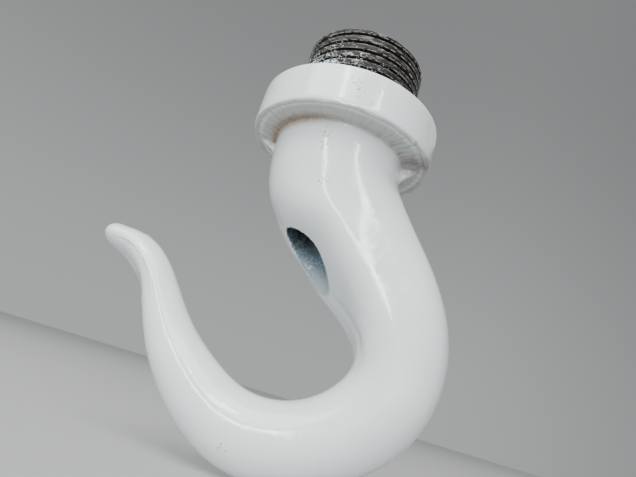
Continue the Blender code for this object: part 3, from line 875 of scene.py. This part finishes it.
class Nodes:
    """A shorthand for building one material's node tree."""

    def __init__(self, name):
        self.material = bpy.data.materials.new(name)
        self.material.use_nodes = True
        self.tree = self.material.node_tree
        self.place = self.new("TexCoord").outputs["Object"]

    def new(self, kind, *values):
        """A new node with values or sockets put into its first inputs."""
        node = self.tree.nodes.new(f"ShaderNode{kind}")
        for socket, value in zip(node.inputs, values):
            self.put(socket, value)
        return node

    def put(self, socket, value):
        if isinstance(value, bpy.types.NodeSocket):
            self.tree.links.new(value, socket)
        elif isinstance(value, tuple) and len(value) == 3 and socket.type == "RGBA":
            socket.default_value = (*value, 1.0)
        else:
            socket.default_value = value

    def fill(self, node, **values):
        """Put values or sockets into a node's named inputs."""
        for name, value in values.items():
            self.put(node.inputs[name.replace("_", " ")], value)
        return node

    def set(self, **values):
        self.fill(self.tree.nodes["Principled BSDF"], **values)

    def math(self, operation, first, second=0.0):
        node = self.new("Math", first, second)
        node.operation = operation
        return node.outputs[0]

    def plus(self, first, second):
        return self.math("ADD", first, second)

    def minus(self, first, second):
        return self.math("SUBTRACT", first, second)

    def times(self, first, second):
        return self.math("MULTIPLY", first, second)

    def shaken(self, value, grain, amount):
        """A value that a noise moves up and down by up to half an amount."""
        return self.plus(value, self.times(self.minus(grain, 0.5), amount))

    def from_axis(self, x, y):
        return self.math("POWER", self.plus(self.times(x, x), self.times(y, y)), 0.5)

    def split(self, vector):
        return self.new("SeparateXYZ", vector).outputs

    def join(self, x, y, z):
        return self.new("CombineXYZ", x, y, z).outputs[0]

    def noise(self, wavelength, detail=2.0, roughness=0.5, place=None):
        node = self.fill(self.new("TexNoise"), Vector=place or self.place, Scale=1.0 / wavelength)
        return self.fill(node, Detail=detail, Roughness=roughness).outputs[0]

    def cells(self, wavelength):
        node = self.fill(self.new("TexVoronoi"), Vector=self.place, Scale=1.0 / wavelength)
        return node.outputs["Distance"]

    def range(self, value, low, high, bottom=0.0, top=1.0):
        return map_range(self.tree, value, low, high, bottom, top)

    def mix(self, share, first, second):
        node = self.new("Mix", share)
        node.data_type = "RGBA"
        self.put(node.inputs[6], first)
        self.put(node.inputs[7], second)
        return node.outputs[2]

    def attribute(self, name):
        node = self.new("Attribute")
        node.attribute_name = name
        return node.outputs["Fac"]

    def near(self, centre, radius):
        """1 at a point of the object, fading to 0 at a radius."""
        node = self.new("VectorMath", self.place, centre)
        node.operation = "DISTANCE"
        return self.range(node.outputs["Value"], 0.0, radius, 1.0, 0.0)

    def bump(self, height, distance, strength=1.0, under=None):
        node = self.fill(self.new("Bump"), Strength=strength, Distance=distance, Height=height)
        if under is not None:
            self.put(node.inputs["Normal"], under)
        return node.outputs[0]


# The corner beside the web of flash on +X, where a shadow is painted into the paint's colour
WEB_CORNER = (33.5 * MM, -7.2 * MM, -18.0 * MM)
WEB_CORNER_REACH = 10.5 * MM
# Clusters of pinholes in the paint: centre and radius, in millimetres
PINHOLE_CLUSTERS = (
    ((5.6, -38.0, -6.0), 3.4),
    ((7.0, -37.7, -11.0), 3.0),
    ((12.5, -36.2, -13.6), 1.0),
    ((14.8, -35.3, -15.4), 1.0),
    ((-2.6, -27.1, -23.0), 3.0),
    ((-1.8, -26.9, -28.5), 2.6),
    ((2.0, -26.2, -41.8), 3.4),
    ((-22.0, 15.0, -26.0), 2.6),
    ((48.5, -13.0, -98.0), 2.6),
    ((-6.0, -12.5, -138.0), 3.0),
    ((8.0, 14.4, -132.0), 2.4),
    ((30.0, 23.0, -60.0), 2.8),
)


def enamel():
    """Thick glossy white paint, overspray and bare metal in the bore, dirt under the collar, painted shade
    on the collar's underside and a painted shadow beside the web of flash.
    """
    made = Nodes("white_enamel")
    x, y, z = made.split(made.place)
    reach = made.from_axis(x, y)

    broad = made.noise(34.0 * MM)
    fine = made.noise(1.9 * MM)
    paint = made.mix(made.range(broad, 0.35, 0.65), (0.735, 0.790, 0.800), (0.785, 0.825, 0.830))
    stain = made.noise(11.0 * MM, 3.0)
    paint = made.mix(made.range(stain, 0.60, 0.80, 0.0, 0.35), paint, (0.70, 0.68, 0.62))

    # the collar's underside: greyed by painted shade, with radial marks in the paint
    under = made.range(z, -16.2 * MM, -16.9 * MM)
    under = made.times(under, made.range(reach, 26.0 * MM, 28.0 * MM))
    under = made.times(under, made.range(z, -19.2 * MM, -17.6 * MM))
    angle = made.math("ARCTAN2", y, x)
    spokes = made.join(made.times(angle, 22.0), made.times(reach, 60.0), 0.0)
    rays = made.noise(1.0, 3.0, 0.6, spokes)
    streaks = made.times(made.range(rays, 0.50, 0.68), made.range(reach, 37.2 * MM, 35.4 * MM))
    sides = made.range(made.math("ABSOLUTE", x), 12.0 * MM, 25.0 * MM, 0.15, 0.70)
    # painted shade: the whole underside mixed towards dark grey
    paint = made.mix(made.times(under, 0.66), paint, (0.36, 0.34, 0.33))
    paint = made.mix(made.times(streaks, made.times(under, sides)), paint, (0.22, 0.20, 0.19))
    uneven = made.range(made.noise(2.0 * MM, 4.0, 0.6), 0.40, 0.60, 0.60, 1.0)
    # painted shadow in the fold beside the web of flash
    web_shade = made.times(made.near(WEB_CORNER, WEB_CORNER_REACH), uneven)
    paint = made.mix(web_shade, paint, (0.19, 0.155, 0.14))

    # dirt and rust in the corner between neck and collar
    side = made.math("ABSOLUTE", made.minus(reach, 28.6 * MM))
    above = made.math("ABSOLUTE", made.plus(z, COLLAR_HEIGHT + 0.9 * MM))
    corner = made.math("MAXIMUM", side, above)
    grime = made.noise(1.2 * MM, 4.0, 0.65)
    ragged = made.shaken(corner, grime, 2.0 * MM)
    ring = made.range(ragged, 0.45 * MM, 1.4 * MM, 1.0, 0.0)
    left = made.range(made.plus(x, made.times(y, -0.25)), 12.0 * MM, -10.0 * MM)
    thin = made.plus(made.times(left, 0.84), 0.14)
    dirt = made.times(ring, thin)
    patches = made.range(made.noise(2.2 * MM, 3.0), 0.4, 0.6)
    rust = made.mix(patches, (0.20, 0.125, 0.07), (0.10, 0.055, 0.035))
    paint = made.mix(dirt, paint, rust)
    halo = made.times(made.range(ragged, 0.4 * MM, 3.6 * MM, 0.60, 0.0), left)
    paint = made.mix(halo, paint, (0.38, 0.30, 0.21))

    # pinholes, crowded in a few places
    dots = made.range(made.cells(0.95 * MM), 0.20, 0.34, 1.0, 0.0)
    clusters = None
    for centre, radius in PINHOLE_CLUSTERS:
        spot = made.near(tuple(value * MM for value in centre), radius * MM)
        clusters = spot if clusters is None else made.math("MAXIMUM", clusters, spot)
    pits = made.times(dots, made.range(clusters, 0.04, 0.35))
    paint = made.mix(made.times(pits, 0.50), paint, (0.30, 0.29, 0.27))

    # the bore: a ragged edge of paint, overspray below, near black further up
    edge = made.shaken(made.attribute("bore"), grime, 1.5)
    inside = made.range(edge, 0.53, 0.58)
    patchy = made.range(made.noise(2.6 * MM, 3.0), 0.38, 0.52)
    patchy = made.times(patchy, made.range(z, -72.0 * MM, -60.0 * MM, 0.25, 1.0))
    chipped = made.times(made.range(edge, 0.42, 0.50), patchy)
    height = made.shaken(z, made.noise(3.0 * MM, 5.0, 0.6), 16.0 * MM)
    spray = made.range(height, -49.0 * MM, -63.0 * MM)
    speckle = made.range(made.noise(0.8 * MM, 4.0, 0.7), 0.40, 0.60)
    mist = made.mix(speckle, (0.15, 0.22, 0.28), (0.32, 0.42, 0.47))
    mist = made.mix(made.range(z, -62.0 * MM, -78.0 * MM), mist, (0.46, 0.54, 0.57))
    wall = made.mix(spray, (0.010, 0.011, 0.013), mist)
    colour = made.mix(made.times(chipped, 0.8), paint, (0.05, 0.055, 0.06))
    colour = made.mix(inside, colour, wall)
    metal = made.range(made.plus(made.attribute("bare"), made.times(grime, 0.3)), 0.55, 0.75)
    colour = made.mix(metal, colour, (0.09, 0.09, 0.092))

    gloss = made.range(made.noise(7.0 * MM, 3.0), 0.3, 0.7, 0.11, 0.20)
    dull = made.math("MAXIMUM", made.math("MAXIMUM", inside, metal), dirt)
    roughness = made.plus(gloss, made.times(dull, 0.42))

    peel = made.bump(fine, 0.16 * MM, 0.30)
    skin = made.bump(made.noise(6.0 * MM), 0.80 * MM, 0.20, peel)
    holes = made.bump(made.minus(1.0, pits), 0.42 * MM, 1.0, skin)
    file_marks = made.bump(made.times(streaks, under), -0.3 * MM, 0.5, holes)
    made.set(Base_Color=colour, Roughness=roughness, Normal=file_marks)
    made.set(Coat_Weight=0.35, Coat_Roughness=0.05, IOR=1.5)
    return made.material


def worn_steel():
    """Black thread with bright edges that are partly worn metal and partly painted highlight, brown and
    grey patches and specks of white paint.
    """
    made = Nodes("black_steel")
    x, y, z = made.split(made.place)
    crest = made.attribute("crest")
    broad = made.noise(9.0 * MM, 3.0)
    grain = made.noise(1.1 * MM, 5.0, 0.7)
    fine = made.noise(0.45 * MM, 3.0, 0.6)
    top = made.mix(made.range(broad, 0.35, 0.65), (0.005,) * 3, (0.018, 0.017, 0.016))
    top = made.mix(made.range(grain, 0.60, 0.74), top, (0.24, 0.23, 0.21))
    top = made.mix(made.range(grain, 0.46, 0.38, 0.0, 0.9), top, (0.006,) * 3)
    groove = made.mix(made.range(grain, 0.45, 0.6), (0.003,) * 3, (0.012, 0.011, 0.010))
    colour = made.mix(made.range(crest, 0.25, 0.85), groove, top)
    # bright crest edges and streaks: partly worn bare metal, partly painted highlight
    near_edge = made.times(made.range(crest, 0.80, 0.90), made.range(crest, 0.985, 0.93))
    rubbed_and_glint = made.times(near_edge, made.range(made.noise(1.6 * MM, 3.0), 0.40, 0.55))
    colour = made.mix(made.times(rubbed_and_glint, 0.8), colour, (0.50, 0.48, 0.45))
    angle = made.math("ARCTAN2", y, x)
    along = made.join(made.times(angle, 5.0), made.times(z, 1600.0), 0.0)
    scraped_and_sheen = made.range(made.noise(1.0, 3.0, 0.6, along), 0.54, 0.66)
    scraped_and_sheen = made.times(scraped_and_sheen, made.range(crest, 0.90, 0.97))
    scraped_and_sheen = made.times(scraped_and_sheen, made.range(z, 10.0 * MM, 22.0 * MM, 0.35, 0.85))
    colour = made.mix(scraped_and_sheen, colour, (0.30, 0.29, 0.26))
    rust = made.times(made.range(made.noise(4.0 * MM, 4.0, 0.6), 0.56, 0.70), 0.35)
    colour = made.mix(rust, colour, (0.07, 0.045, 0.028))

    # paint specks, thick near the collar on the left and thinning upward; fewer on the right, partly real
    # overspray and partly painted shade on that side
    low = made.range(z, 24.0 * MM, 5.0 * MM)
    left = made.range(made.plus(x, made.times(y, 0.2)), 2.0 * MM, -22.0 * MM)
    share = made.plus(made.times(low, 0.045), made.times(made.times(low, left), 0.24))
    # fewer specks on the right: painted shade on the thread's right side as well as thinner overspray
    share = made.minus(share, made.range(x, 2.0 * MM, 22.0 * MM, 0.0, 0.045))
    specks = made.plus(made.noise(0.85 * MM, 4.0, 0.62), made.times(made.noise(4.5 * MM), 0.35))
    paint = made.range(made.plus(specks, share), 0.815, 0.865)
    paint = made.times(paint, made.range(z, 30.9 * MM, 30.2 * MM, 0.15, 1.0))
    colour = made.mix(paint, colour, (0.62, 0.68, 0.72))
    bare = made.minus(1.0, paint)
    rough = made.range(made.plus(grain, made.times(broad, 0.3)), 0.45, 0.85, 0.38, 0.72)
    hammered = made.bump(made.plus(grain, made.times(fine, 0.5)), 0.22 * MM, 0.8)
    made.set(Base_Color=colour, Roughness=rough, Metallic=made.times(bare, 0.15), Normal=hammered)
    made.set(Specular_IOR_Level=0.22)
    return made.material


def rubber():
    """Black rubber with dust lying in patches."""
    made = Nodes("seal_rubber")
    grain = made.noise(0.8 * MM, 3.0)
    dust = made.range(made.noise(6.0 * MM, 4.0), 0.50, 0.72, 0.0, 0.35)
    colour = made.mix(made.range(grain, 0.4, 0.6), (0.012, 0.012, 0.013), (0.028, 0.028, 0.03))
    colour = made.mix(dust, colour, (0.17, 0.16, 0.15))
    made.set(Base_Color=colour, Roughness=made.range(grain, 0.3, 0.7, 0.5, 0.72))
    made.set(Normal=made.bump(grain, 0.05 * MM, 0.5))
    return made.material


# Tool marks to a metre on the turned metal
TOOL_MARKS = 1.0 / (0.35 * MM)


def turned_metal(name, dark, light, low_gloss, high_gloss):
    """Lathe-turned metal: fine rings about the axis over blotches of tarnish."""
    made = Nodes(name)
    x, y, z = made.split(made.place)
    reach = made.from_axis(x, y)
    stretched = made.join(made.times(reach, TOOL_MARKS), made.times(z, TOOL_MARKS), 0.0)
    rings = made.noise(1.0, 2.0, 0.5, stretched)
    blotch = made.noise(3.5 * MM, 3.0)
    colour = made.mix(made.range(made.plus(rings, made.times(blotch, 0.7)), 0.6, 1.1), dark, light)
    made.set(Base_Color=colour, Metallic=1.0, Roughness=made.range(blotch, 0.3, 0.7, low_gloss, high_gloss))
    made.set(Normal=made.bump(rings, 0.02 * MM, 0.5))
    return made.material


# Assembly

def place_piece(piece, material, node):
    """Let a piece stand for a CAD node and ride on that node's body."""
    piece.data.materials.clear()
    piece.data.materials.append(material)
    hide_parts(node)
    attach(piece, frame["nodes"][node]["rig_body"])


hook = make_hook()
sculpt_paint(hook)
place_piece(hook, enamel(), "hook")
place_piece(make_stud(), worn_steel(), "swivel_stud")
place_piece(make_seal(), rubber(), "dust_seal")
bronze = turned_metal("bronze", (0.34, 0.20, 0.09), (0.62, 0.40, 0.19), 0.28, 0.5)
place_piece(make_wear_ring(), bronze, "wear_washer")
place_piece(make_bush(), bronze, "stem_bush")
bearing = turned_metal("bearing_steel", (0.42, 0.42, 0.44), (0.66, 0.66, 0.68), 0.10, 0.24)
place_piece(make_race("upper_race", "upper_track", False), bearing, "upper_race")
place_piece(make_race("lower_race", "lower_track", True), bearing, "lower_race")
for node, centre, radius in ball_places():
    place_piece(make_ball(node, centre, radius), bearing, node)
brass = turned_metal("cage_brass", (0.45, 0.31, 0.10), (0.70, 0.52, 0.22), 0.22, 0.4)
place_piece(make_cage(), brass, "ball_cage")
plated = turned_metal("plated_steel", (0.30,) * 3, (0.56, 0.56, 0.57), 0.25, 0.45)
place_piece(make_plain_washer(), plated, "nut_washer")
place_piece(make_nut(), plated, "castle_nut")
place_piece(make_split_pin(), plated, "split_pin")


# Stage, lights and camera

CAMERA_PLACE = (0.0337, -0.1809, -0.1166)
CAMERA_LENS = 27.17
# The camera's azimuth, elevation and roll in degrees
CAMERA_AIM = (-10.03, 18.42, 17.01)
LIGHT_TARGET = Vector((0.0, 0.0, -0.06))
# Name, azimuth, elevation, distance, width, height, power and lean, angles in degrees
LIGHTS = (
    ("left_strip", -170.0, 12.5, 1.2, 0.085, 0.80, 6.4, 38.0),
    ("crown_strip", 174.0, 3.5, 1.2, 0.10, 0.14, 1.3, 0.0),
    ("bowl_strip", -170.0, 43.0, 1.2, 0.08, 0.36, 2.3, 12.0),
    ("right_strip", 156.0, 21.0, 1.2, 0.055, 0.92, 5.2, -36.0),
    ("low_strip", 168.0, 1.5, 0.62, 0.032, 0.15, 0.5, -14.0),
    ("top_fill", -158.0, 54.0, 1.5, 1.4, 1.2, 31.0, 0.0),
    ("back_fill", 15.0, 55.0, 2.0, 2.2, 1.6, 6.0, 0.0),
)
SKY_TINT = (0.97, 0.985, 1.0, 1.0)
HORIZON_LIGHT = 0.46
ZENITH_LIGHT = 0.26
RIGHT_SHARE = 0.42
FLOOR_WIDTH = 12.0
FLOOR_GAP = 0.6 * MM
FLOOR_SHADES = ((0.25,) * 3, (0.27,) * 3)
FLOOR_TINT = (0.96, 0.985, 1.0)
FLOOR_GLOW = 0.265


def heading(azimuth, elevation):
    """A unit vector from degrees, with azimuth 0 along +Y and 90 along +X."""
    around = math.radians(azimuth)
    up = math.radians(elevation)
    return Vector((math.sin(around) * math.cos(up), math.cos(around) * math.cos(up), math.sin(up)))


def aim(thing, direction, roll):
    """Make a camera or a light look along a direction, rolled about it by some degrees."""
    upright = direction.to_track_quat("-Z", "Y").to_matrix()
    rolled = upright @ Matrix.Rotation(math.radians(roll), 3, "Z")
    thing.rotation_mode = "QUATERNION"
    thing.rotation_quaternion = rolled.to_quaternion()


def make_camera():
    """Below the hook's mid height on the -Y side, looking up at it, rolled to the left."""
    data = bpy.data.cameras.new("camera")
    data.sensor_width = 36.0
    data.lens = CAMERA_LENS
    data.clip_start = 5.0 * MM
    camera = new_object("camera", data)
    camera.location = CAMERA_PLACE
    azimuth, elevation, roll = CAMERA_AIM
    aim(camera, heading(azimuth, elevation), roll)
    bpy.context.scene.camera = camera


def area_light(name, azimuth, elevation, distance, width, height, power, lean):
    """A soft rectangle that faces the hook's middle."""
    data = bpy.data.lights.new(name, "AREA")
    data.shape = "RECTANGLE"
    data.size = width
    data.size_y = height
    data.energy = power
    light = new_object(name, data)
    out = heading(azimuth, elevation)
    light.location = LIGHT_TARGET + out * distance
    aim(light, -out, lean)


def make_floor():
    """A pale floor that glows just enough to meet the pale surroundings at the horizon."""
    shape = bmesh.new()
    bmesh.ops.create_grid(shape, x_segments=1, y_segments=1, size=0.5 * FLOOR_WIDTH)
    bmesh.ops.translate(shape, verts=shape.verts, vec=(0.0, 0.0, CAD_BOX[0].z - FLOOR_GAP))
    floor = add_object("floor", shape)
    made = Nodes("floor")
    made.set(Base_Color=made.mix(made.noise(4.0 * MM, 3.0), *FLOOR_SHADES), Roughness=0.9)
    made.set(Specular_IOR_Level=0.0, Emission_Color=FLOOR_TINT, Emission_Strength=FLOOR_GLOW)
    floor.data.materials.append(made.material)


def make_world():
    """Pale surroundings, brightest at the horizon and dimmer towards the right."""
    world = bpy.data.worlds.new("studio")
    world.use_nodes = True
    tree = world.node_tree
    background = tree.nodes["Background"]
    background.inputs["Color"].default_value = SKY_TINT
    direction = tree.nodes.new("ShaderNodeTexCoord")
    parts = tree.nodes.new("ShaderNodeSeparateXYZ")
    tree.links.new(direction.outputs["Generated"], parts.inputs[0])
    both = tree.nodes.new("ShaderNodeMath")
    both.operation = "MULTIPLY"
    upward = map_range(tree, parts.outputs["Z"], 0.0, 0.75, HORIZON_LIGHT, ZENITH_LIGHT)
    rightward = map_range(tree, parts.outputs["X"], 0.1, 0.9, 1.0, RIGHT_SHARE)
    tree.links.new(upward, both.inputs[0])
    tree.links.new(rightward, both.inputs[1])
    tree.links.new(both.outputs[0], background.inputs["Strength"])
    bpy.context.scene.world = world


make_camera()
make_floor()
make_world()
for light in LIGHTS:
    area_light(*light)
